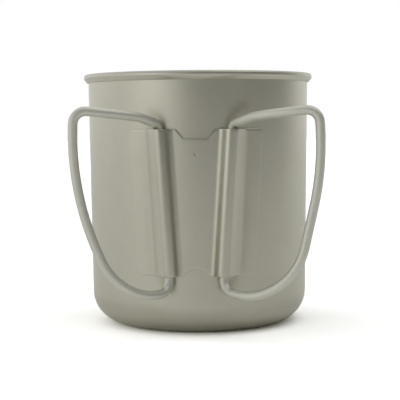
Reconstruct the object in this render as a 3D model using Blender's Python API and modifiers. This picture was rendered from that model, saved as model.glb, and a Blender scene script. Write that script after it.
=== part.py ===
"""Camping mug: a drawn sheet cup, a welded hinge bracket and two folding wire handles.

Frame: metres, +Z up, origin at the middle of the base's underside, bracket facing -Y.
"""
import math

import bmesh
import bpy
import numpy as np
from mathutils import Matrix, Vector

# Cup, drawn from one disc of sheet; radii are of its outer face
MUG_HEIGHT = 0.0900
MOUTH_RADIUS = 0.0400
BASE_RADIUS = 0.0391
BASE_CORNER = 0.0112
CUP_SHEET = 0.0005

# Lip, rolled outwards and down, with its hem slanting back to the wall
LIP_OVERHANG = 0.0016
LIP_DROP = 0.0005
LIP_TUCK = 0.0009
LIP_SLANT = 0.0012
LIP_BEND = 0.0008

# Handle wire
WIRE_DIAMETER = 0.0032
WIRE_CLEARANCE = 0.0003
WIRE_END_GAP = 0.0010

# Hinge lines: distance between the two axes at the bracket's edges
HINGE_SPACING_TOP = 0.0246
HINGE_SPACING_BOTTOM = 0.0184

# Bracket, stamped from one sheet and welded to the wall
BRACKET_LENGTH = 0.0497
BRACKET_RAISE = 0.0006
BRACKET_SHEET = 0.0006
SEAT_GAP = 0.0003
CHANNEL_PLAY = 0.0002
INNER_SLOPE = math.radians(60.0)
INNER_FOOT_BEND = 0.0024
OUTER_SLOPE = math.radians(38.0)
OUTER_FOOT_BEND = 0.0035
FLANGE_REACH = 0.0123
FLANGE_CORNER = 0.0020
TOP_NOTCH_DEPTH = 0.0032
TOP_NOTCH_FLAT = 0.0086
TOP_NOTCH_MOUTH = 0.0141
BOTTOM_NOTCH_DEPTH = 0.0025
BOTTOM_NOTCH_FLAT = 0.0034
BOTTOM_NOTCH_MOUTH = 0.0100

# Handle loop, laid flat: reach is measured round the wall from the hinge axis
TOP_BEND_INSET = 0.0003
TOP_KNUCKLE_BEND = 0.0024
BOTTOM_BEND_OUTSET = 0.0002
BOTTOM_KNUCKLE_BEND = 0.0046
INNER_ARM_RISE = math.radians(18.0)
OUTER_ARM_RISE = math.radians(9.2)
ARM_BEND_REACH = 0.0088
ARM_BEND = 0.0200
TOP_REACH = 0.0315
TOP_CORNER_BEND = 0.0042
BELLY_REACH = 0.0340
BELLY_BEND = 0.0950
BOTTOM_DROP = 0.0016
BOTTOM_CORNER_BEND = 0.0214

# Where the two loops differ: the right one is bent a little fuller at its lower corner
LEFT_BELLY_DROP = 0.0278
LEFT_BOTTOM_REACH = 0.0204
RIGHT_BELLY_DROP = 0.0180
RIGHT_BOTTOM_REACH = 0.0267

# How far each handle stands open, from lying along the wall
LEFT_OPEN = math.radians(69.0)
RIGHT_OPEN = math.radians(64.0)

# Metals, as linear base colours and roughness
CUP_METAL = ((0.42, 0.41, 0.34), 0.45)
BRACKET_METAL = ((0.40, 0.39, 0.32), 0.42)
WIRE_METAL = ((0.46, 0.45, 0.38), 0.38)

# Facets: how finely each curve is divided
CUP_STEPS = 72
CUP_BEND_POINTS = 9
LIP_BEND_POINTS = 4
MERGE_DISTANCE = 0.00001
BRACKET_ROWS = 7
BRACKET_BEND_POINTS = 5
FLANGE_COLUMNS = 3
FLANGE_CORNER_COLUMNS = 6
WIRE_RESOLUTION = 4
WIRE_BEND_POINTS = 9
LONGEST_WIRE_STEP = 0.0060

WIRE_RADIUS = WIRE_DIAMETER / 2
AXIS_STANDOFF = WIRE_RADIUS + WIRE_CLEARANCE
BRACKET_TOP = MUG_HEIGHT / 2 + BRACKET_RAISE + BRACKET_LENGTH / 2
BRACKET_BOTTOM = BRACKET_TOP - BRACKET_LENGTH
LIP_ROLL = LIP_OVERHANG / 2
WALL_TOP = MUG_HEIGHT - CUP_SHEET / 2 - LIP_ROLL


def clear_scene():
    """Remove what the scene starts with, and give the mug a collection of its own."""
    for item in list(bpy.data.objects):
        bpy.data.objects.remove(item, do_unlink=True)
    collection = bpy.data.collections.new("camping_mug")
    bpy.context.scene.collection.children.link(collection)
    return collection


def bare_metal(name, colour, roughness):
    """A bare metal: linear base colour and roughness, fully metallic."""
    material = bpy.data.materials.new(name)
    material.use_nodes = True
    shader = material.node_tree.nodes["Principled BSDF"]
    shader.inputs["Base Color"].default_value = (*colour, 1.0)
    shader.inputs["Roughness"].default_value = roughness
    shader.inputs["Metallic"].default_value = 1.0
    return material


def add_object(collection, name, data, material=None):
    """Link a new object for this data into the collection."""
    item = bpy.data.objects.new(name, data)
    collection.objects.link(item)
    if material:
        data.materials.append(material)
    return item


def thicken(item, thickness):
    """Make a surface a sheet of this thickness, half of it on each side."""
    sheet = item.modifiers.new("Sheet", "SOLIDIFY")
    sheet.thickness = thickness
    sheet.offset = 0.0
    sheet.use_even_offset = True


def arc(centre, radius, start, end, count):
    """Points of a plane arc between two angles in degrees, both ends included."""
    angles = np.radians(np.linspace(start, end, count))
    return [Vector((centre[0] + radius * math.cos(a), centre[1] + radius * math.sin(a))) for a in angles]


def rounded_path(corners, bends, arc_points):
    """Straight runs between corners, each inner corner an arc that keeps within its two runs."""
    corners = [Vector(corner) for corner in corners]
    runs = [b - a for a, b in zip(corners, corners[1:])]
    turns = [a.angle(b) for a, b in zip(runs, runs[1:])]
    tangents = [0.0] + [bend * math.tan(turn / 2) for bend, turn in zip(bends, turns)] + [0.0]
    fits = [min(1.0, run.length / max(a + b, 1e-9)) for run, a, b in zip(runs, tangents, tangents[1:])]
    path = [corners[0]]
    for index, turn in enumerate(turns):
        tangent = tangents[index + 1] * min(fits[index], fits[index + 1])
        before, after = runs[index].normalized(), runs[index + 1].normalized()
        start = corners[index + 1] - before * tangent
        bend = tangent / math.tan(turn / 2)
        inward = (after - before * before.dot(after)).normalized()
        for share in np.linspace(0.0, 1.0, arc_points):
            angle = turn * share
            path.append(start + before * bend * math.sin(angle) + inward * bend * (1 - math.cos(angle)))
    path.append(corners[-1])
    return path[:1] + [b for a, b in zip(path, path[1:]) if (b - a).length > MERGE_DISTANCE]


def subdivided(path, longest):
    """The same path with evenly spaced points added to its long runs."""
    points = []
    for a, b in zip(path, path[1:]):
        count = max(1, math.ceil((b - a).length / longest))
        points += [a.lerp(b, step / count) for step in range(count)]
    return points + [path[-1]]


def wall_radius(height):
    """Outer radius of the wall, which leans out evenly from the base corner to the lip."""
    share = (height - BASE_CORNER) / (WALL_TOP - BASE_CORNER)
    return BASE_RADIUS + (MOUTH_RADIUS - BASE_RADIUS) * share


def build_cup(collection, material):
    """Turn the sheet's middle line, from the lip's hem down to the base's centre, and thicken it."""
    half = CUP_SHEET / 2
    roll_centre = (MOUTH_RADIUS - half + LIP_ROLL, WALL_TOP)
    hem_radius = roll_centre[0] + LIP_ROLL
    hem_top = WALL_TOP - LIP_DROP
    corner_centre = (BASE_RADIUS - BASE_CORNER, BASE_CORNER)
    hem = [(hem_radius - LIP_TUCK, hem_top - LIP_SLANT), (hem_radius, hem_top), (hem_radius, WALL_TOP)]
    profile = rounded_path(hem, [LIP_BEND], LIP_BEND_POINTS)[:-1]
    profile += arc(roll_centre, LIP_ROLL, 0, 180, CUP_BEND_POINTS)
    profile += [Vector((wall_radius(BRACKET_TOP) - half, BRACKET_TOP))]
    profile += [Vector((wall_radius(BRACKET_BOTTOM) - half, BRACKET_BOTTOM))]
    profile += arc(corner_centre, BASE_CORNER - half, 0, -90, CUP_BEND_POINTS)
    profile += [Vector((0.0, half))]
    mesh = bpy.data.meshes.new("mug_body")
    edges = [(index, index + 1) for index in range(len(profile) - 1)]
    mesh.from_pydata([(p.x, 0.0, p.y) for p in profile], edges, [])
    cup = add_object(collection, "mug_body", mesh, material)
    turn = cup.modifiers.new("Turn", "SCREW")
    turn.steps = turn.render_steps = CUP_STEPS
    turn.use_merge_vertices = True
    turn.merge_threshold = MERGE_DISTANCE
    turn.use_smooth_shade = True
    thicken(cup, CUP_SHEET)


def hinge_point(spacing, height):
    """A point of the right-hand axis: half the spacing off the middle plane, the standoff off the wall."""
    radius = wall_radius(height) + AXIS_STANDOFF
    return Vector((spacing / 2, -math.sqrt(radius ** 2 - (spacing / 2) ** 2), height))


def hinge_frame(side):
    """Frame on a hinge's middle: Z up its axis, Y straight out from the wall. Side is 1 at +X, -1 at -X."""
    top = hinge_point(HINGE_SPACING_TOP, BRACKET_TOP)
    bottom = hinge_point(HINGE_SPACING_BOTTOM, BRACKET_BOTTOM)
    top.x *= side
    bottom.x *= side
    middle = (top + bottom) / 2
    axis = (top - bottom).normalized()
    outward = Vector((middle.x, middle.y, 0.0))
    outward = (outward - axis * outward.dot(axis)).normalized()
    frame = Matrix((outward.cross(axis), outward, axis)).transposed().to_4x4()
    return Matrix.Translation(middle) @ frame, (top - bottom).length


def notch(distance, depth, flat, mouth):
    """How deep a straight-sided notch is at a distance from the bracket's middle line."""
    return depth * np.clip((mouth / 2 - distance) / (mouth / 2 - flat / 2), 0.0, 1.0)


def corner_round(distance):
    """How much a rounded corner takes off an edge at a distance in from the flange's end."""
    inset = np.clip(FLANGE_CORNER - distance, 0.0, FLANGE_CORNER)
    return FLANGE_CORNER - np.sqrt(FLANGE_CORNER ** 2 - inset ** 2)


def arc_to_hinge(spacing, height):
    """Distance round the mug from the middle plane to a hinge axis, and the radius it is measured at."""
    axis = hinge_point(spacing, height)
    radius = math.hypot(axis.x, axis.y)
    return radius * math.atan2(axis.x, -axis.y), radius


def web_shares(foot):
    """Shares of the web's half width where it has a column: its middle, the notches' corners and between."""
    shares = [0.0, 0.5]
    for spacing, height, widths in (
            (HINGE_SPACING_TOP, BRACKET_TOP, (TOP_NOTCH_FLAT, TOP_NOTCH_MOUTH)),
            (HINGE_SPACING_BOTTOM, BRACKET_BOTTOM, (BOTTOM_NOTCH_FLAT, BOTTOM_NOTCH_MOUTH))):
        half_web = arc_to_hinge(spacing, height)[0] - foot
        shares += [width / 2 / half_web for width in widths]
    return [share for share in np.unique(np.round(shares, 3)) if share < 1.0]


def half_section():
    """Right half of the bracket's section as columns (share, place, rise).

    A column lies at share times the channel's distance from the middle plane, plus place, and the middle of
    its sheet stands off the wall by rise.
    """
    seat = SEAT_GAP + BRACKET_SHEET / 2
    shoulder_bend = WIRE_RADIUS + WIRE_CLEARANCE + BRACKET_SHEET / 2
    crest = AXIS_STANDOFF + shoulder_bend

    def flank(slope, foot_bend):
        """Distances of a flank's crest corner, base corner and foot from the middle of its channel."""
        crest_corner = CHANNEL_PLAY + shoulder_bend * math.tan(slope / 2)
        base_corner = crest_corner + (crest - seat) / math.tan(slope)
        return crest_corner, base_corner, base_corner + foot_bend * math.tan(slope / 2)

    inner_crest, inner_base, inner_foot = flank(INNER_SLOPE, INNER_FOOT_BEND)
    outer_crest, outer_base, outer_foot = flank(OUTER_SLOPE, OUTER_FOOT_BEND)
    corners = [(-inner_foot, seat), (-inner_base, seat), (-inner_crest, crest)]
    corners += [(outer_crest, crest), (outer_base, seat), (outer_foot, seat)]
    bends = [INNER_FOOT_BEND, shoulder_bend, shoulder_bend, OUTER_FOOT_BEND]
    hat = rounded_path(corners, bends, BRACKET_BEND_POINTS)
    columns = [(share, -share * inner_foot, seat) for share in web_shares(inner_foot)]
    columns += [(1.0, point.x, point.y) for point in hat]
    corner_start = FLANGE_REACH - FLANGE_CORNER
    flange = np.linspace(outer_foot, corner_start, FLANGE_COLUMNS + 1)[1:]
    corner = corner_start + FLANGE_CORNER * np.sin(np.linspace(0, math.pi / 2, FLANGE_CORNER_COLUMNS + 1)[1:])
    columns += [(1.0, place, seat) for place in (*flange, *corner)]
    return np.array(columns)


def bracket_columns():
    """Bottom and top ends of each straight column of the right half, middle plane first."""
    columns = half_section()
    inset = FLANGE_REACH - columns[:, 1]
    ends = []
    bottom_cut = (BOTTOM_NOTCH_DEPTH, BOTTOM_NOTCH_FLAT, BOTTOM_NOTCH_MOUTH)
    top_cut = (TOP_NOTCH_DEPTH, TOP_NOTCH_FLAT, TOP_NOTCH_MOUTH)
    for edge, spacing, inward, cut in (
            (BRACKET_BOTTOM, HINGE_SPACING_BOTTOM, 1, bottom_cut),
            (BRACKET_TOP, HINGE_SPACING_TOP, -1, top_cut)):
        hinge_arc, hinge_radius = arc_to_hinge(spacing, edge)
        distance = columns[:, 0] * hinge_arc + columns[:, 1]
        angle = distance / hinge_radius
        height = edge + inward * (notch(distance, *cut) + corner_round(inset))
        radius = wall_radius(height) + columns[:, 2]
        ends.append(np.stack([radius * np.sin(angle), -radius * np.cos(angle), height], axis=1))
    return ends


def build_bracket(collection, material):
    """Lay a grid along the section's straight columns, left half mirrored from the right, and thicken it."""
    bottom, top = (np.concatenate([end[:0:-1] * (-1, 1, 1), end]) for end in bracket_columns())
    across = len(bottom) - 1
    up = BRACKET_ROWS - 1
    bm = bmesh.new()
    bmesh.ops.create_grid(bm, x_segments=across, y_segments=up, size=0.5)
    for vert in bm.verts:
        column = round((vert.co.x + 0.5) * across)
        share = vert.co.y + 0.5
        vert.co = bottom[column] * (1 - share) + top[column] * share
    mesh = bpy.data.meshes.new("handle_bracket")
    bm.to_mesh(mesh)
    bm.free()
    mesh.shade_smooth()
    bracket = add_object(collection, "handle_bracket", mesh, material)
    thicken(bracket, BRACKET_SHEET)


def loop_path(hinge_length, belly_drop, bottom_reach):
    """The wire's middle line laid flat: reach from the axis, and place along it from the hinge's middle."""
    top_bend = hinge_length / 2 - TOP_BEND_INSET
    bottom_bend = -hinge_length / 2 - BOTTOM_BEND_OUTSET
    top = top_bend + TOP_KNUCKLE_BEND * math.tan((math.pi / 2 - INNER_ARM_RISE) / 2)
    arm_bend = top + ARM_BEND_REACH * math.tan(INNER_ARM_RISE)
    top_corner = arm_bend + (TOP_REACH - ARM_BEND_REACH) * math.tan(OUTER_ARM_RISE)
    bottom = bottom_bend - BOTTOM_KNUCKLE_BEND
    corners = [(0.0, WIRE_END_GAP / 2), (0.0, top), (ARM_BEND_REACH, arm_bend), (TOP_REACH, top_corner)]
    corners += [(BELLY_REACH, top_corner - belly_drop), (bottom_reach, bottom - BOTTOM_DROP)]
    corners += [(0.0, bottom), (0.0, -WIRE_END_GAP / 2)]
    bends = [TOP_KNUCKLE_BEND, ARM_BEND, TOP_CORNER_BEND, BELLY_BEND, BOTTOM_CORNER_BEND, BOTTOM_KNUCKLE_BEND]
    return subdivided(rounded_path(corners, bends, WIRE_BEND_POINTS), LONGEST_WIRE_STEP)


def build_handle(collection, material, name, side, opening, belly_drop, bottom_reach):
    """Wrap the flat loop round the wall about its hinge, and swing it open on that hinge."""
    frame, hinge_length = hinge_frame(side)
    hinge = add_object(collection, name + "_hinge", None)
    hinge.matrix_world = frame
    wrap = math.hypot(frame.translation.x, frame.translation.y)
    flat = loop_path(hinge_length, belly_drop, bottom_reach)
    curve = bpy.data.curves.new(name, "CURVE")
    curve.dimensions = "3D"
    curve.bevel_depth = WIRE_RADIUS
    curve.bevel_resolution = WIRE_RESOLUTION
    curve.use_fill_caps = True
    spline = curve.splines.new("POLY")
    spline.points.add(len(flat) - 1)
    for point, (reach, along) in zip(spline.points, flat):
        angle = reach / wrap
        point.co = (-side * wrap * math.sin(angle), wrap * (math.cos(angle) - 1), along, 1.0)
    handle = add_object(collection, name, curve, material)
    handle.parent = hinge
    handle.rotation_euler = (0.0, 0.0, -side * opening)


def main():
    """Build the four pieces of the mug."""
    collection = clear_scene()
    wire_metal = bare_metal("drawn titanium wire", *WIRE_METAL)
    build_cup(collection, bare_metal("blasted titanium sheet", *CUP_METAL))
    build_bracket(collection, bare_metal("stamped titanium sheet", *BRACKET_METAL))
    build_handle(collection, wire_metal, "left_handle", -1, LEFT_OPEN, LEFT_BELLY_DROP, LEFT_BOTTOM_REACH)
    build_handle(collection, wire_metal, "right_handle", 1, RIGHT_OPEN, RIGHT_BELLY_DROP, RIGHT_BOTTOM_REACH)
    bpy.context.view_layer.update()


main()
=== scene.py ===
# %% [markdown]
# A camping mug of bare titanium, seen from the side of its folding handles. The imported part gives the frame: four
# solids in metres, with the base's middle at the origin and the hinge bracket facing -Y. Each solid is redrawn
# here as a smooth surface with its real metal finish, and rides on the body that the part moves it with.

# %% Load the imported part
import math

import bpy
import numpy as np
from mathutils import Matrix


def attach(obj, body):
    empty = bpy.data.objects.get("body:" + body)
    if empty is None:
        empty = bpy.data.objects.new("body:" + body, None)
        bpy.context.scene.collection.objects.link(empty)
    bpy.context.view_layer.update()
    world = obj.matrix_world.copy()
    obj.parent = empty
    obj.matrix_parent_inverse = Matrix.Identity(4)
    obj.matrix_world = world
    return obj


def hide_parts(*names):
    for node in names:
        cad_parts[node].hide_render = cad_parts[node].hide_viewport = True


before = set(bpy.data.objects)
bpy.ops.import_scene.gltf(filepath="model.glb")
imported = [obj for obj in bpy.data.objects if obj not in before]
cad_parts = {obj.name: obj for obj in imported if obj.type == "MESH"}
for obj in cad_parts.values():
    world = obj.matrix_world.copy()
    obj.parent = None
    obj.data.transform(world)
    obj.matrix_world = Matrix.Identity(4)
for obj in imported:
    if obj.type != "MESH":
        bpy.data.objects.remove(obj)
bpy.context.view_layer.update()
scene = bpy.context.scene
scene.view_settings.view_transform = "Standard"
MM = 0.001

# %% [markdown]
# The camera comes first, because every later choice is judged through it. The photograph was taken from a little
# above the mug's middle and about 0.43 m away, which a fit to the mug's outline gives. A long lens stands there,
# turned by a degree about the mug and rolled by half a degree, with a small shift instead of a crop.

# %% Camera
IMAGE_SIDE, FOCAL_PIXELS, SENSOR_MM = 400, 1157.3, 36.0
CAMERA_SHIFT = (0.0033, 0.00125)
CAMERA_PLACE = (0.0, -427.0 * MM, 73.1 * MM)
CAMERA_TURN, CAMERA_PITCH, CAMERA_ROLL = math.radians(1.36), math.radians(3.938), math.radians(-0.433)
camera_data = bpy.data.cameras.new("camera")
camera_data.sensor_width = SENSOR_MM
camera_data.lens = FOCAL_PIXELS / IMAGE_SIDE * SENSOR_MM
camera_data.shift_x, camera_data.shift_y = CAMERA_SHIFT
camera = bpy.data.objects.new("camera", camera_data)
scene.collection.objects.link(camera)
round_the_mug = Matrix.Rotation(CAMERA_TURN, 4, "Z") @ Matrix.Translation(CAMERA_PLACE)
looking_down = Matrix.Rotation(math.pi / 2 - CAMERA_PITCH, 4, "X") @ Matrix.Rotation(CAMERA_ROLL, 4, "Z")
camera.matrix_world = round_the_mug @ looking_down
scene.camera = camera
print("lens in mm:", round(camera_data.lens, 1))

# %% [markdown]
# Every piece of this mug is bent metal: sheet that was drawn and rolled, or wire that was bent round pins. A bend
# is an arc that touches the straight runs on both its sides. Blender can round the corners of a poly line with a
# Bevel modifier, but then the direction of the metal at each point is lost. Here the path is followed as a wire
# bender makes it: the heading stays still on straight runs and turns evenly on bends.


# %% Helper: a bent path
def bent_path(corners, bends, spacing, finest_turn=math.radians(6.0)):
    """Follow straight runs between corners, with each inner corner an arc of its own radius.

    A corner that turns by an angle takes its radius times the tangent of half that angle off both of its runs.
    Between two points on an arc the chord is the length gone times sin(x) / x, with x half of the turn between
    them. Gives the points, the heading at each point and the length gone.
    """
    corners, bends = np.asarray(corners, float), np.asarray(bends, float)
    runs = np.diff(corners, axis=0)
    headings = np.arctan2(runs[:, 1], runs[:, 0])
    turns = (np.diff(headings) + np.pi) % (2 * np.pi) - np.pi
    trims = np.concatenate([[0.0], bends * np.tan(np.abs(turns) / 2), [0.0]])
    lengths = np.zeros(2 * len(runs) - 1)
    turned = np.zeros_like(lengths)
    lengths[0::2] = np.linalg.norm(runs, axis=1) - trims[:-1] - trims[1:]
    lengths[1::2] = bends * np.abs(turns)
    turned[1::2] = turns
    knots = np.concatenate([[0.0], np.cumsum(lengths)])
    heading_knots = headings[0] + np.concatenate([[0.0], np.cumsum(turned)])
    counts = np.ceil(np.maximum(lengths / spacing, np.abs(turned) / finest_turn) - 1e-6).astype(int)
    gone = np.concatenate([np.linspace(a, b, n, endpoint=False) for a, b, n in zip(knots, knots[1:], counts)])
    gone = np.append(gone, knots[-1])
    heading = np.interp(gone, knots, heading_knots)
    middle = (heading[:-1] + heading[1:]) / 2
    chord = np.diff(gone) * np.sinc(np.diff(heading) / (2 * np.pi))
    moves = chord[:, None] * np.stack([np.cos(middle), np.sin(middle)], axis=1)
    points = corners[0] + np.concatenate([np.zeros((1, 2)), np.cumsum(moves, axis=0)])
    return points, heading, gone


print("length of a quarter turn of radius 1:", round(bent_path([(0, 0), (2, 0), (2, 2)], [1.0], 0.1)[2][-1] - 2.0, 4))

# %% [markdown]
# The surfaces below are grids of points: a row for each place along a path and a column for each place across it.
# Blender wants the same grid as a list of points and a list of faces. One helper numbers the quads of a grid, and
# another puts points and faces into a mesh with smooth shading.


# %% Helpers: grid faces and pieces
def grid_faces(rows, columns, joined=False):
    """Number the quads between neighbouring rows and columns; joined closes each row onto its own start."""
    row, column = np.meshgrid(np.arange(rows - 1), np.arange(columns if joined else columns - 1), indexing="ij")
    after = (column + 1) % columns
    quads = [row * columns + column, row * columns + after, (row + 1) * columns + after, (row + 1) * columns + column]
    return np.stack(quads, axis=-1).reshape(-1, 4)


def end_fan(ring, pole, outward):
    """Close a ring of points with triangles to one pole; outward tells which way round they go."""
    following = np.roll(ring, -1)
    order = (ring, following) if outward else (following, ring)
    return np.stack([np.full_like(ring, pole), *order], axis=-1)


def add_piece(name, points, *face_groups):
    """Make a smooth mesh object from an array of points and one or more arrays of faces."""
    mesh = bpy.data.meshes.new(name)
    mesh.from_pydata(points.tolist(), [], [face for group in face_groups for face in group.tolist()])
    mesh.shade_smooth()
    mesh.validate()
    piece = bpy.data.objects.new(name, mesh)
    scene.collection.objects.link(piece)
    print(name, "faces:", len(mesh.polygons), "size in mm:", np.round(np.ptp(points, axis=0) / MM, 1).tolist())
    return piece


def add_attribute(piece, name, values):
    """Keep one number or one vector for each point of a piece, for its material to read."""
    kind = "FLOAT_VECTOR" if values.ndim == 2 else "FLOAT"
    attribute = piece.data.attributes.new(name, kind, "POINT")
    attribute.data.foreach_set("vector" if values.ndim == 2 else "value", values.astype(np.float32).ravel())


def carry(piece, node, body, material):
    """Let a piece stand for its CAD node, move with its body and wear its finish."""
    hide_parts(node)
    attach(piece, body)
    piece.data.materials.append(material)


print("quads between 3 rows and 4 columns:", len(grid_faces(3, 4)))

# %% [markdown]
# Colours are written as the sRGB hex values that a colour picker shows, and turned to the linear values that
# shaders count in. One helper adds any node: its settings go by name, and each input is either a number to set or
# a socket to link.


# %% Helpers: colours and nodes
def linear(hex_colour):
    """Turn an sRGB hex colour into linear red, green, blue and an alpha of 1."""
    srgb = np.array([int(hex_colour[i:i + 2], 16) for i in (1, 3, 5)]) / 255.0
    return (*np.where(srgb <= 0.04045, srgb / 12.92, ((srgb + 0.055) / 1.055) ** 2.4).tolist(), 1.0)


def add_node(tree, kind, inputs=None, **settings):
    """Add a node, set its own settings, and fill its inputs with values or with links from other sockets."""
    node = tree.nodes.new(kind)
    for name, value in settings.items():
        setattr(node, name, value)
    for key, value in (inputs or {}).items():
        if isinstance(value, bpy.types.NodeSocket):
            tree.links.new(value, node.inputs[key])
        else:
            node.inputs[key].default_value = value
    return node


def new_metal(name):
    """Start a bare metal: its node tree and its shader, fully metallic, at the default IOR."""
    material = bpy.data.materials.new(name)
    material.use_nodes = True
    shader = material.node_tree.nodes["Principled BSDF"]
    shader.inputs["Metallic"].default_value = 1.0
    return material, material.node_tree, shader


def finish_metal(tree, shader, tone, roughness, normal):
    """Link what varies over a metal's surface to its shader: its tone, its roughness and its bumps."""
    for socket, value in (("Base Color", tone), ("Roughness", roughness), ("Normal", normal)):
        tree.links.new(value, shader.inputs[socket])


print("#808080 in linear light:", round(linear("#808080")[0], 3))

# %% [markdown]
# The cup is one disc of thin titanium, drawn deep in a press and then rolled outwards at its lip. A Screw modifier
# could turn a profile, but the lip shows in close-up, so the sheet is drawn in full: its middle line is bent from
# the base's centre to the lip's hem, both faces stand half of the sheet off it, and a small round joins them at the
# hem. The outline is then turned about the mug's axis.

# %% Cup sizes, in millimetres
MUG_HEIGHT, MOUTH_RADIUS, BASE_RADIUS, BASE_CORNER, CUP_SHEET = 90.0, 40.0, 39.1, 11.2, 0.5
LIP_OVERHANG, LIP_DROP, LIP_TUCK, LIP_SLANT, LIP_BEND = 1.6, 0.5, 0.9, 1.2, 0.8
# The lip's two bends keep a little slack, so that a straight run is left between them
LIP_ROLL, ROLL_SLACK = LIP_OVERHANG / 2, 0.01
WALL_TOP = MUG_HEIGHT - CUP_SHEET / 2 - LIP_ROLL
# How finely the sheet is divided: along it, round its hem, and round the mug
CUP_SPACING, HEM_POINTS, CUP_STEPS = 3.0, 9, 288


def wall_radius(height):
    """Outer radius of the wall, which leans out evenly from the base corner to the lip."""
    return BASE_RADIUS + (MOUTH_RADIUS - BASE_RADIUS) * (height - BASE_CORNER) / (WALL_TOP - BASE_CORNER)


print("wall radius at half height in mm:", round(wall_radius(MUG_HEIGHT / 2), 2))


# %% The cup's sheet, cut through
def cup_outline():
    """Outline of the cut sheet: the outer face from the base's centre to the hem, and the inner face back.

    Both faces are the middle line plus or minus half the sheet along its normal, and the hem is a half circle.
    """
    half = CUP_SHEET / 2
    top, rim = MUG_HEIGHT - half, MOUTH_RADIUS - half + LIP_OVERHANG
    hem = WALL_TOP - LIP_DROP
    corners = [(0.0, half), (wall_radius(half) - half, half), (wall_radius(top) - half, top), (rim, top), (rim, hem)]
    corners += [(rim - LIP_TUCK, hem - LIP_SLANT)]
    roll = LIP_ROLL - ROLL_SLACK
    line, heading, _ = bent_path(corners, [BASE_CORNER - half, roll, roll, LIP_BEND], CUP_SPACING)
    along = np.stack([np.cos(heading), np.sin(heading)], axis=1)
    outer = np.stack([np.sin(heading), -np.cos(heading)], axis=1)
    angle = np.linspace(0.0, np.pi, HEM_POINTS)[1:-1, None]
    hem_round = line[-1] + half * (outer[-1] * np.cos(angle) + along[-1] * np.sin(angle))
    return np.concatenate([line + half * outer, hem_round, (line - half * outer)[::-1]])


def turn(outline, steps):
    """Turn (radius, height) about Z: x = radius sin(a), y = -radius cos(a), with one pole at each end."""
    angle = np.arange(steps) * (2 * np.pi / steps)
    radius, height = outline[1:-1, 0, None], outline[1:-1, 1, None]
    rings = np.stack([radius * np.sin(angle), -radius * np.cos(angle), height + 0.0 * angle], axis=-1).reshape(-1, 3)
    poles = np.array([[0.0, 0.0, outline[0, 1]], [0.0, 0.0, outline[-1, 1]]])
    count = len(outline) - 2
    first, last = np.arange(steps), np.arange(steps) + (count - 1) * steps
    fans = np.concatenate([end_fan(first, len(rings), False), end_fan(last, len(rings) + 1, True)])
    return np.concatenate([rings, poles]), grid_faces(count, steps, joined=True), fans


outline = cup_outline()
cup_points, cup_quads, cup_fans = turn(outline, CUP_STEPS)
cup = add_piece("blasted_cup", cup_points * MM, cup_quads, cup_fans)

# %% [markdown]
# The hinge bracket is one stamped plate, spot-welded to the wall. Two leaning channels run up it, each a rounded hat
# that holds a handle's wire, with a plain web between them and a flange outside each. It could be modelled as a
# plate and bent with modifiers, but the plate has to follow the wall and the wire at once. So its middle surface is
# a function of two parameters: a place across the plate, and a place up a straight line between the bottom and top
# edges.

# %% Hinge and bracket sizes, in millimetres
WIRE_RADIUS, WIRE_CLEARANCE = 1.6, 0.3
AXIS_STANDOFF = WIRE_RADIUS + WIRE_CLEARANCE
HINGE_SPACING_TOP, HINGE_SPACING_BOTTOM = 24.6, 18.4
BRACKET_LENGTH, BRACKET_RAISE, BRACKET_SHEET, SEAT_GAP = 49.7, 0.6, 0.6, 0.3
BRACKET_TOP = MUG_HEIGHT / 2 + BRACKET_RAISE + BRACKET_LENGTH / 2
BRACKET_BOTTOM = BRACKET_TOP - BRACKET_LENGTH
CHANNEL_PLAY, FLANK_SLOPES, FOOT_BENDS = 0.2, np.radians([60.0, 38.0]), np.array([2.4, 3.5])
FLANGE_REACH, FLANGE_CORNER, EDGE_ROUND = 12.3, 2.0, 0.22
# Each notch's depth, its width at the bottom and its width at the mouth
TOP_NOTCH, BOTTOM_NOTCH = (3.2, 8.6, 14.1), (2.5, 3.4, 10.0)
# How finely the plate is divided: half the web, along a channel's section, the flange, its round corner, and upwards
WEB_COLUMNS, HAT_SPACING, FLANGE_COLUMNS, CORNER_COLUMNS, EDGE_ROWS, INNER_ROWS = 48, 0.25, 16, 22, 7, 66


def hinge_point(spacing, height):
    """A point of the right-hand hinge line: half the spacing off the middle plane, the standoff off the wall."""
    radius = wall_radius(height) + AXIS_STANDOFF
    return np.array([spacing / 2, -math.sqrt(radius ** 2 - (spacing / 2) ** 2), height])


print("bracket from", round(BRACKET_BOTTOM, 2), "to", round(BRACKET_TOP, 2), "mm up the wall")


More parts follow.
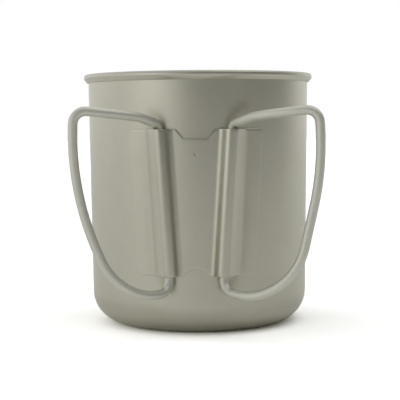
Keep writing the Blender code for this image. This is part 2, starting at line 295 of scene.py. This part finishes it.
# %% The bracket's section and edges
def bracket_section():
    """Columns of the right half as (share, place, rise): share of the hinge's distance, place beyond it, rise.

    The channel is a hat: a round over the wire, two straight flanks and two foot bends. The inner flank is the
    steep one, and the outer runs out gently into the flange.
    """
    seat = SEAT_GAP + BRACKET_SHEET / 2
    shoulder = WIRE_RADIUS + WIRE_CLEARANCE + BRACKET_SHEET / 2
    crest = AXIS_STANDOFF + shoulder
    crest_half = CHANNEL_PLAY + shoulder * np.tan(FLANK_SLOPES / 2)
    base_half = crest_half + (crest - seat) / np.tan(FLANK_SLOPES)
    foot = base_half + FOOT_BENDS * np.tan(FLANK_SLOPES / 2)
    corners = [(-foot[0], seat), (-base_half[0], seat), (-crest_half[0], crest)]
    corners += [(crest_half[1], crest), (base_half[1], seat), (foot[1], seat)]
    hat = bent_path(corners, [FOOT_BENDS[0], shoulder, shoulder, FOOT_BENDS[1]], HAT_SPACING)[0]
    share = np.linspace(0.0, 1.0, WEB_COLUMNS, endpoint=False)
    web = np.stack([share, -share * foot[0], np.full_like(share, seat)], axis=1)
    hat = np.insert(hat, 0, 1.0, axis=1)
    flat = np.linspace(foot[1], FLANGE_REACH - FLANGE_CORNER, FLANGE_COLUMNS)[1:]
    angle = np.linspace(0.0, np.pi / 2, CORNER_COLUMNS)[1:]
    place = np.concatenate([flat, FLANGE_REACH - FLANGE_CORNER + FLANGE_CORNER * np.sin(angle)])
    flange = np.stack([np.ones_like(place), place, np.full_like(place, seat)], axis=1)
    return np.concatenate([web, hat, flange])


def notch(distance, depth, flat, mouth, softness=0.05):
    """Depth of a notch with slanting sides: a ramp from 0 to 1, whose corners are rounded by two hyperbolas."""
    ramp = (mouth / 2 - distance) / (mouth / 2 - flat / 2)
    return depth * (np.hypot(ramp, softness) - np.hypot(ramp - 1.0, softness) + 1.0) / 2


def edge_line(section, height, spacing, inward, cut):
    """One edge of the right half: each column's end, lifted by the notch and by the round of the flange's corner."""
    axis = hinge_point(spacing, height)
    radius = math.hypot(axis[0], axis[1])
    distance = section[:, 0] * radius * math.atan2(axis[0], -axis[1]) + section[:, 1]
    inset = np.clip(FLANGE_CORNER - (FLANGE_REACH - section[:, 1]), 0.0, FLANGE_CORNER)
    level = height + inward * (notch(distance, *cut) + FLANGE_CORNER - np.sqrt(FLANGE_CORNER ** 2 - inset ** 2))
    reach, angle = wall_radius(level) + section[:, 2], distance / radius
    return np.stack([reach * np.sin(angle), -reach * np.cos(angle), level], axis=1)


print("columns in half of the bracket:", len(bracket_section()))


# %% The bracket as a sheet with rounded edges
def bracket_sheet():
    """Front and back faces of the plate: its middle surface plus or minus a half thickness along the normal.

    The half thickness is that of a rounded edge: it grows from nothing at the border as a quarter circle does,
    and is half the sheet from there on, so that front and back meet in the border's own points.
    """
    section = bracket_section()
    lower = edge_line(section, BRACKET_BOTTOM, HINGE_SPACING_BOTTOM, 1.0, BOTTOM_NOTCH)
    upper = edge_line(section, BRACKET_TOP, HINGE_SPACING_TOP, -1.0, TOP_NOTCH)
    lower, upper = (np.concatenate([end[:0:-1] * (-1, 1, 1), end]) for end in (lower, upper))
    side = FLANGE_REACH - np.concatenate([section[:0:-1, 1], section[:, 1]])
    length = np.linalg.norm(upper - lower, axis=1)[:, None]
    near = EDGE_ROUND * (1.0 - np.cos(np.linspace(0.0, np.pi / 2, EDGE_ROWS)))
    between = near[-1] + (length - 2 * near[-1]) * np.linspace(0.0, 1.0, INNER_ROWS)[1:-1]
    up = np.concatenate([near + 0.0 * length, between, length - near[::-1]], axis=1)
    share = (up / length)[:, :, None]
    middle = lower[:, None] * (1.0 - share) + upper[:, None] * share
    normal = np.cross(np.gradient(middle, axis=0), np.gradient(middle, axis=1))
    normal /= np.linalg.norm(normal, axis=-1, keepdims=True)
    border = np.minimum(np.minimum(up, length - up), side[:, None])
    thick = np.sqrt(1.0 - (1.0 - np.clip(border / EDGE_ROUND, 0.0, 1.0)) ** 2) * BRACKET_SHEET / 2
    rise = np.concatenate([section[:0:-1, 2], section[:, 2]])[:, None] + 0.0 * border
    return middle + normal * thick[..., None], middle - normal * thick[..., None], border, rise


front, back, border, rise = bracket_sheet()
columns, rows = border.shape
inside = np.zeros((columns, rows), bool)
inside[1:-1, 1:-1] = True
front_number = np.arange(columns * rows).reshape(columns, rows)
back_number = front_number.copy()
back_number[inside] = columns * rows + np.arange(inside.sum())
front_faces = grid_faces(columns, rows)[:, ::-1]
back_faces = back_number.ravel()[grid_faces(columns, rows)]
bracket_points = np.concatenate([front.reshape(-1, 3), back[inside]])
bracket = add_piece("stamped_bracket", bracket_points * MM, front_faces, back_faces)
add_attribute(bracket, "edge_distance", np.concatenate([border.ravel(), border[inside]]))
add_attribute(bracket, "stand_off", np.concatenate([rise.ravel(), rise[inside]]))

# %% [markdown]
# Each handle is one length of wire. Its two ends meet inside a channel, and from there it is bent into a loop that
# was curved to lie along the wall when it is folded. A curve object with a bevel would give a round wire, but its
# twist is hard to steer. So the loop is drawn flat, wrapped round a cylinder about its hinge and swung open, and a
# circle is carried along it. The cylinder's own radius is one side of the circle's frame, so nothing twists.

# %% Handle sizes, in millimetres and degrees
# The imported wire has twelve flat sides; a round wire of the same section is a little thinner
ROUND_WIRE_RADIUS = 1.56
WIRE_END_GAP, END_ROUND = 1.0, 0.3
TOP_BEND_INSET, TOP_KNUCKLE_BEND, BOTTOM_BEND_OUTSET, BOTTOM_KNUCKLE_BEND = 0.3, 2.4, 0.2, 4.6
INNER_ARM_RISE, OUTER_ARM_RISE, ARM_BEND_REACH, ARM_BEND = math.radians(18.0), math.radians(9.2), 8.8, 20.0
TOP_REACH, TOP_CORNER_BEND, BELLY_REACH, BELLY_BEND = 31.5, 4.2, 34.0, 95.0
BOTTOM_DROP, BOTTOM_CORNER_BEND = 1.6, 21.4
# Each handle's side, opening, drop from the top corner to the belly, and reach of the lower corner
LEFT_SHAPE, RIGHT_SHAPE = (-1, math.radians(69.0), 27.8, 20.4), (1, math.radians(64.0), 18.0, 26.7)
# How finely the wire is divided: along it, over its rounded ends, and round it
WIRE_SPACING, END_STEPS, WIRE_STEPS = 0.8, 6, 40


# %% The handle's loop, laid flat
def loop_corners(hinge_length, belly_drop, bottom_reach):
    """Corners of the flat loop as (reach round the wall, place up the hinge), and the radius at each bend."""
    top = hinge_length / 2 - TOP_BEND_INSET + TOP_KNUCKLE_BEND * math.tan((math.pi / 2 - INNER_ARM_RISE) / 2)
    arm_bend = top + ARM_BEND_REACH * math.tan(INNER_ARM_RISE)
    top_corner = arm_bend + (TOP_REACH - ARM_BEND_REACH) * math.tan(OUTER_ARM_RISE)
    bottom = -hinge_length / 2 - BOTTOM_BEND_OUTSET - BOTTOM_KNUCKLE_BEND
    end = WIRE_END_GAP / 2 + END_ROUND
    corners = [(0.0, end), (0.0, top), (ARM_BEND_REACH, arm_bend), (TOP_REACH, top_corner)]
    corners += [(BELLY_REACH, top_corner - belly_drop), (bottom_reach, bottom - BOTTOM_DROP)]
    corners += [(0.0, bottom), (0.0, -end)]
    bends = [TOP_KNUCKLE_BEND, ARM_BEND, TOP_CORNER_BEND, BELLY_BEND, BOTTOM_CORNER_BEND, BOTTOM_KNUCKLE_BEND]
    return corners, bends


# %% The loop, wrapped and swung open
def swung_loop(side, opening, belly_drop, bottom_reach):
    """Wrap the flat loop round a cylinder of the wall's size through the hinge, and swing it about the hinge.

    The reach becomes an angle round the cylinder: x = radius sin(a), y = radius (cos(a) - 1). Gives each point, the
    cylinder's radius there as a direction outward, the wire's own direction and the length gone.
    """
    top, bottom = (hinge_point(s, h) * (side, 1, 1) for s, h in
                   ((HINGE_SPACING_TOP, BRACKET_TOP), (HINGE_SPACING_BOTTOM, BRACKET_BOTTOM)))
    length, middle = np.linalg.norm(top - bottom), (top + bottom) / 2
    axis = (top - bottom) / length
    out = middle * (1, 1, 0) - axis * (middle * (1, 1, 0)).dot(axis)
    out /= np.linalg.norm(out)
    basis = np.stack([np.cross(out, axis), out, axis])
    wrap = math.hypot(middle[0], middle[1])
    flat, heading, gone = bent_path(*loop_corners(length, belly_drop, bottom_reach), WIRE_SPACING)
    angle = flat[:, 0] / wrap
    line = np.stack([-side * wrap * np.sin(angle), wrap * (np.cos(angle) - 1.0), flat[:, 1]], axis=1)
    outward = np.stack([-side * np.sin(angle), np.cos(angle), 0.0 * angle], axis=1)
    level = np.cos(heading)
    along = np.stack([-side * np.cos(angle) * level, -np.sin(angle) * level, np.sin(heading)], axis=1)
    swing = -side * opening
    turned = np.array([[math.cos(swing), math.sin(swing), 0], [-math.sin(swing), math.cos(swing), 0], [0, 0, 1]])
    return line @ turned @ basis + middle, outward @ turned @ basis, along @ turned @ basis, gone


for name, shape in (("left", LEFT_SHAPE), ("right", RIGHT_SHAPE)):
    print(name, "wire's length in mm:", round(swung_loop(*shape)[3][-1] + 2 * END_ROUND, 1))


# %% The wire, given its thickness
def handle_wire(*shape):
    """Carry a circle along the loop: point = line + radius (cos(b) outward + sin(b) across).

    Across is square to outward and to the wire. The radius shrinks as a quarter circle does at the two rounded ends.
    """
    line, outward, along, gone = swung_loop(*shape)
    bevel = np.linspace(0.0, np.pi / 2, END_STEPS)[1:, None]
    rim, push = END_ROUND * (1.0 - np.cos(bevel)), END_ROUND * np.sin(bevel)
    full = np.full((len(line), 1), ROUND_WIRE_RADIUS)
    radius = np.concatenate([ROUND_WIRE_RADIUS - rim[::-1], full, ROUND_WIRE_RADIUS - rim])
    gone = np.concatenate([-push[::-1, 0], gone, gone[-1] + push[:, 0]])
    line = np.concatenate([line[0] - along[0] * push[::-1], line, line[-1] + along[-1] * push])
    pad = ((len(push), len(push)), (0, 0))
    outward, across = np.pad(outward, pad, "edge"), np.pad(np.cross(along, outward), pad, "edge")
    b = np.arange(WIRE_STEPS) * (2 * np.pi / WIRE_STEPS)
    spokes = outward[:, None] * np.cos(b)[:, None] + across[:, None] * np.sin(b)[:, None]
    rings = line[:, None] + radius[:, None] * spokes
    straight = np.stack([radius * np.cos(b), radius * np.sin(b), gone[:, None] + 0.0 * b], axis=-1)
    return rings, straight, line[[0, -1]], gone[[0, -1]]


def add_handle(name, *shape):
    """Put a handle's rings and two end poles into a mesh, with each point's place on the straight wire."""
    rings, straight, poles, ends = handle_wire(*shape)
    count = rings.shape[0] * rings.shape[1]
    first, last = np.arange(WIRE_STEPS), np.arange(WIRE_STEPS) + count - WIRE_STEPS
    fans = np.concatenate([end_fan(first, count, False), end_fan(last, count + 1, True)])
    points = np.concatenate([rings.reshape(-1, 3), poles])
    piece = add_piece(name, points * MM, grid_faces(rings.shape[0], WIRE_STEPS, joined=True), fans)
    on_wire = np.concatenate([straight.reshape(-1, 3), [[0.0, 0.0, ends[0]], [0.0, 0.0, ends[1]]]])
    add_attribute(piece, "straight_wire", on_wire * MM)
    return piece


left_wire = add_handle("left_wire_handle", *LEFT_SHAPE)
right_wire = add_handle("right_wire_handle", *RIGHT_SHAPE)

# %% [markdown]
# Titanium stays bare on such mugs. The drawn cup was blasted with fine glass beads, which leaves a soft grey with a
# warm cast, no brush marks and a broad sheen instead of sharp reflections. The beads are about 0.1 mm, too fine to
# show here, so the grain is drawn at 0.5 mm, and a slow cloudiness of about 9 mm stands for uneven blasting. Rolling
# stretched the sheet at the lip and opened its grain, so the lip is a little duller. An image texture would need a
# photograph of the metal; two noises on the Object coordinates stay sharp at any distance and move with the piece.

# %% What all blasted sheet shares
CLOUD_SIZE, GRAIN_SIZE, GRAIN_DEPTH = 9.0 * MM, 0.5 * MM, 0.02 * MM
BLASTED_TONES, BLASTED_ROUGHNESS = (linear("#B9B7A8"), linear("#C1BFB0")), (0.29, 0.37)


def blasted_sheet(tree, tooth):
    """Add a blasted surface on Object coordinates: its place, tone, roughness and bump, whose strength is the tooth.

    The tone gives the eye uneven blasting, the roughness a soft sheen, and the bump a faint tooth in that sheen.
    """
    place = add_node(tree, "ShaderNodeTexCoord").outputs["Object"]
    cloud = add_node(tree, "ShaderNodeTexNoise", {"Vector": place, "Scale": 1.0 / CLOUD_SIZE, "Detail": 3.0})
    grain = add_node(tree, "ShaderNodeTexNoise", {"Vector": place, "Scale": 1.0 / GRAIN_SIZE, "Detail": 2.0})
    cloud, grain = cloud.outputs["Fac"], grain.outputs["Fac"]
    tone = add_node(tree, "ShaderNodeMix", {"Factor": cloud, "A": BLASTED_TONES[0], "B": BLASTED_TONES[1]},
                    data_type="RGBA").outputs["Result"]
    dull = add_node(tree, "ShaderNodeMapRange", {"Value": grain, "To Min": BLASTED_ROUGHNESS[0],
                                                 "To Max": BLASTED_ROUGHNESS[1]}).outputs["Result"]
    bump = add_node(tree, "ShaderNodeBump", {"Height": grain, "Strength": tooth, "Distance": GRAIN_DEPTH})
    return place, tone, dull, bump.outputs["Normal"]


# %% Blasted titanium sheet for the cup
CUP_TOOTH, LIP_DULLER = 0.15, 0.10
# The lip's dullness starts and is full at these heights
LIP_FADE = ((MUG_HEIGHT - 1.6) * MM, (MUG_HEIGHT - 0.2) * MM)
blasted, tree, shader = new_metal("titanium_sheet_bead_blasted")
place, tone, dull, bump = blasted_sheet(tree, CUP_TOOTH)
height = add_node(tree, "ShaderNodeSeparateXYZ", {0: place}).outputs["Z"]
lip = add_node(tree, "ShaderNodeMapRange", {"Value": height, "From Min": LIP_FADE[0], "From Max": LIP_FADE[1]},
               interpolation_type="SMOOTHSTEP").outputs["Result"]
opened = add_node(tree, "ShaderNodeMath", {0: lip, 1: LIP_DULLER, 2: dull}, operation="MULTIPLY_ADD").outputs["Value"]
finish_metal(tree, shader, tone, opened, bump)
carry(cup, "mug_body", "mug", blasted)
print(blasted.name, "nodes:", len(tree.nodes))

# %% [markdown]
# The bracket was stamped from the same bare sheet and blasted before it was welded on, so it shares the cup's grain.
# Where the die stretched it over the channels it is a little smoother, and its sheared edge is paler. One small dark
# mark is left on the web, as from a weld or a slipped tool. The mesh carries two numbers for this, in millimetres:
# each point's distance from the plate's border, and how far it stands off the wall. Painting masks by hand would
# work too, but these follow the shape when its sizes change.

# %% Stamped titanium sheet for the bracket
BRACKET_TOOTH, CUT_EDGE_TONE, MARK_TONE = 0.12, linear("#C6C4B8"), linear("#98968A")
# Where the cut edge and the crest start and are full, in millimetres, as the two attributes are
CUT_EDGE_FADE, CREST_FADE = (0.4, 0.1), (2.0, 4.0)
CREST_SMOOTHER = -0.03
# The mark is a slanting ellipse, as seen from the front: its size in depth is a metre, so depth doesn't count
MARK_PLACE, MARK_SIZE = (-0.35 * MM, 0.0, 61.8 * MM), (0.35 * MM, 1.0, 1.0 * MM)
MARK_SLANT, MARK_FADE = (0.0, math.radians(-34.0), 0.0), (1.0, 0.4)
stamped, tree, shader = new_metal("titanium_sheet_stamped")
place, tone, dull, bump = blasted_sheet(tree, BRACKET_TOOTH)
border = add_node(tree, "ShaderNodeAttribute", attribute_name="edge_distance").outputs["Fac"]
rise = add_node(tree, "ShaderNodeAttribute", attribute_name="stand_off").outputs["Fac"]
cut_edge = add_node(tree, "ShaderNodeMapRange", {"Value": border, "From Min": CUT_EDGE_FADE[0],
                                                 "From Max": CUT_EDGE_FADE[1]}).outputs["Result"]
crest = add_node(tree, "ShaderNodeMapRange", {"Value": rise, "From Min": CREST_FADE[0], "From Max": CREST_FADE[1]},
                 interpolation_type="SMOOTHSTEP").outputs["Result"]
on_mark = add_node(tree, "ShaderNodeMapping", {"Vector": place, "Location": MARK_PLACE, "Rotation": MARK_SLANT,
                                               "Scale": MARK_SIZE}, vector_type="TEXTURE").outputs["Vector"]
off_mark = add_node(tree, "ShaderNodeVectorMath", {0: on_mark}, operation="LENGTH").outputs["Value"]
mark = add_node(tree, "ShaderNodeMapRange", {"Value": off_mark, "From Min": MARK_FADE[0], "From Max": MARK_FADE[1]},
                interpolation_type="SMOOTHSTEP").outputs["Result"]
# The tone gives the eye clean blasted sheet, a pale cut edge and one dark mark; the crests get a slightly tighter sheen
for share, other_tone in ((cut_edge, CUT_EDGE_TONE), (mark, MARK_TONE)):
    tone = add_node(tree, "ShaderNodeMix", {"Factor": share, "A": tone, "B": other_tone},
                    data_type="RGBA").outputs["Result"]
sheen = add_node(tree, "ShaderNodeMath", {0: crest, 1: CREST_SMOOTHER, 2: dull},
                 operation="MULTIPLY_ADD").outputs["Value"]
finish_metal(tree, shader, tone, sheen, bump)
carry(bracket, "handle_bracket", "mug", stamped)
print(stamped.name, "nodes:", len(tree.nodes))

# %% [markdown]
# The handles are titanium wire, pulled through a die and bent cold. Drawing leaves fine streaks along the wire, which
# make it paler and duller than the blasted sheet. A noise on the Object coordinates would run through the loop like
# grain through wood. So the mesh carries each point's place on the wire before it was bent, and streaks that are
# stretched along that straight wire follow every bend. The real streaks are hundredths of a millimetre wide; they are
# drawn at 0.4 mm, so that they show at all.

# %% Drawn titanium wire for the handles
STREAK_SIZE, STREAK_DEPTH, STREAK_TOOTH, ALONG_WIRE = 0.4 * MM, 0.02 * MM, 0.1, (1.0, 1.0, 0.02)
WIRE_TONES, PATCH_SIZE = (linear("#CFCEC3"), linear("#D7D6CB")), 7.0 * MM
WIRE_ROUGHNESS = (0.52, 0.60)
drawn, tree, shader = new_metal("titanium_wire_drawn")
straight = add_node(tree, "ShaderNodeAttribute", attribute_name="straight_wire").outputs["Vector"]
stretched = add_node(tree, "ShaderNodeVectorMath", {0: straight, 1: ALONG_WIRE}, operation="MULTIPLY").outputs["Vector"]
streak = add_node(tree, "ShaderNodeTexNoise", {"Vector": stretched, "Scale": 1.0 / STREAK_SIZE, "Detail": 2.0})
patch = add_node(tree, "ShaderNodeTexNoise", {"Vector": straight, "Scale": 1.0 / PATCH_SIZE, "Detail": 2.0})
streak, patch = streak.outputs["Fac"], patch.outputs["Fac"]
# The tone gives the eye handled metal, the roughness and the bump a sheen that runs along the wire
tone = add_node(tree, "ShaderNodeMix", {"Factor": patch, "A": WIRE_TONES[0], "B": WIRE_TONES[1]},
                data_type="RGBA").outputs["Result"]
dull = add_node(tree, "ShaderNodeMapRange", {"Value": streak, "To Min": WIRE_ROUGHNESS[0],
                                             "To Max": WIRE_ROUGHNESS[1]}).outputs["Result"]
bump = add_node(tree, "ShaderNodeBump", {"Height": streak, "Strength": STREAK_TOOTH, "Distance": STREAK_DEPTH})
finish_metal(tree, shader, tone, dull, bump.outputs["Normal"])
carry(left_wire, "left_handle", "left_handle", drawn)
carry(right_wire, "right_handle", "right_handle", drawn)
print(drawn.name, "nodes:", len(tree.nodes))

# %% [markdown]
# The mug stands on white paper that runs on past the picture's edges. Real paper looks plain white in a photograph
# only when it gets more light than the mug, and more light would bleach the metal here. A shadow catcher would need
# compositing. So the paper's colour depends on who looks, which the Light Path node tells: light bounces off it as
# off ordinary paper, the camera sees it raised to white, and the metal mirrors a share of that rise. The colour is
# still multiplied by the light that falls on the paper, so the mug keeps its soft shadow.

# %% Floor
FLOOR_REACH, FLOOR_DROP = 4.0, 0.05 * MM
PAPER_TONE, FLOOR_SHOWN, MIRRORED_SHARE = linear("#F0F0EE"), (2.0, 2.0, 2.0, 1.0), 0.25
floor_corners = np.array([[-1, -1, 0], [1, -1, 0], [1, 1, 0], [-1, 1, 0]]) * FLOOR_REACH
floor = add_piece("floor", floor_corners - (0.0, 0.0, FLOOR_DROP), np.array([[0, 1, 2, 3]]))
paper = bpy.data.materials.new("white_table_paper")
paper.use_nodes = True
floor.data.materials.append(paper)
tree = paper.node_tree
tree.nodes.clear()
ray = add_node(tree, "ShaderNodeLightPath").outputs
mirrored = add_node(tree, "ShaderNodeMath", {0: ray["Is Glossy Ray"], 1: ray["Is Transmission Ray"]}, operation="ADD")
seen = add_node(tree, "ShaderNodeMath", {0: mirrored.outputs["Value"], 1: MIRRORED_SHARE, 2: ray["Is Camera Ray"]},
                operation="MULTIPLY_ADD", use_clamp=True).outputs["Value"]
colour = add_node(tree, "ShaderNodeMix", {"Factor": seen, "A": PAPER_TONE, "B": FLOOR_SHOWN},
                  data_type="RGBA").outputs["Result"]
matt = add_node(tree, "ShaderNodeBsdfDiffuse", {"Color": colour}).outputs["BSDF"]
add_node(tree, "ShaderNodeOutputMaterial", {"Surface": matt})
print(paper.name, "nodes:", len(tree.nodes))

# %% [markdown]
# The photograph's light is soft and leaves no sharp highlight: a long window at the left, a pale ceiling and a dim
# wall at the right. Area lamps could stand there, but blasted metal spreads what it mirrors, so only broad gradients
# of them would be left, and more noise. So the world shader paints the room. Each light is a lobe: the cosine of the
# angle off its middle, raised to a power, where a higher power makes a smaller light. Bare metal has no shade of its
# own and shows only what it mirrors, so the levels were judged by the tones on the wall, the channels and the wires.

# %% Studio lights in the world
# Degrees round from the camera towards the left, degrees up, power and strength of each light
LIGHTS = {
    "window, front end": (45, 5, 8, 1.18),
    "window, middle": (80, 5, 4, 0.38),
    "window, back end": (125, 8, 4, 0.95),
    "ceiling, left": (90, 65, 12, 0.60),
    "ceiling, right": (270, 65, 12, 1.40),
    "ceiling, middle": (0, 88, 8, 0.50),
    "ceiling, front": (0, 40, 6, 0.15),
    "ceiling, front right": (315, 35, 12, 0.25),
    "right wall": (255, 12, 10, 0.18),
}
ROOM_LEVEL = 0.05
world = bpy.data.worlds.new("soft_studio")
scene.world = world
world.use_nodes = True
tree = world.node_tree
tree.nodes.clear()
towards = add_node(tree, "ShaderNodeTexCoord").outputs["Generated"]
level = ROOM_LEVEL
for name, (azimuth, elevation, power, strength) in LIGHTS.items():
    round_left, up = math.radians(azimuth), math.radians(elevation)
    middle = (-math.sin(round_left) * math.cos(up), -math.cos(round_left) * math.cos(up), math.sin(up))
    facing = add_node(tree, "ShaderNodeVectorMath", {0: towards, 1: middle}, operation="DOT_PRODUCT")
    facing = add_node(tree, "ShaderNodeMath", {0: facing.outputs["Value"], 1: 0.0}, operation="MAXIMUM")
    lobe = add_node(tree, "ShaderNodeMath", {0: facing.outputs["Value"], 1: power}, operation="POWER")
    level = add_node(tree, "ShaderNodeMath", {0: lobe.outputs["Value"], 1: strength, 2: level},
                     operation="MULTIPLY_ADD", label=name).outputs["Value"]
print("lights in the world:", len(LIGHTS))

# %% [markdown]
# Behind the mug hangs a white backdrop. A plane with an emission shader would do, but it would also light the mug from
# behind. Here the world shows it at a strength of 1, which is white, to the camera, and to the metal where it looks
# backwards, fading out at the sides. Other light rays never meet it.

# %% White backdrop
# How far a direction points backwards, from 0 to 1, where the backdrop starts and where it is full
BACKDROP_START, BACKDROP_FULL = 0.05, 0.75
back = add_node(tree, "ShaderNodeSeparateXYZ", {0: towards}).outputs["Y"]
behind = add_node(tree, "ShaderNodeMapRange", {"Value": back, "From Min": BACKDROP_START, "From Max": BACKDROP_FULL},
                  interpolation_type="SMOOTHSTEP").outputs["Result"]
ray = add_node(tree, "ShaderNodeLightPath").outputs
mirrored = add_node(tree, "ShaderNodeMath", {0: ray["Is Glossy Ray"], 1: ray["Is Transmission Ray"]}, operation="ADD",
                    use_clamp=True).outputs["Value"]
seen = add_node(tree, "ShaderNodeMath", {0: mirrored, 1: behind, 2: ray["Is Camera Ray"]}, operation="MULTIPLY_ADD",
                use_clamp=True).outputs["Value"]
shown = add_node(tree, "ShaderNodeMix", {"Factor": seen, "A": level, "B": 1.0}).outputs["Result"]
sky = add_node(tree, "ShaderNodeBackground", {"Color": (1.0, 1.0, 1.0, 1.0), "Strength": shown})
add_node(tree, "ShaderNodeOutputWorld", {"Surface": sky.outputs["Background"]})
print(world.name, "nodes:", len(tree.nodes))

# %% [markdown]
# The drawn mug has to stay inside the imported part's box.

# %% Bring the scene up to date
bpy.context.view_layer.update()
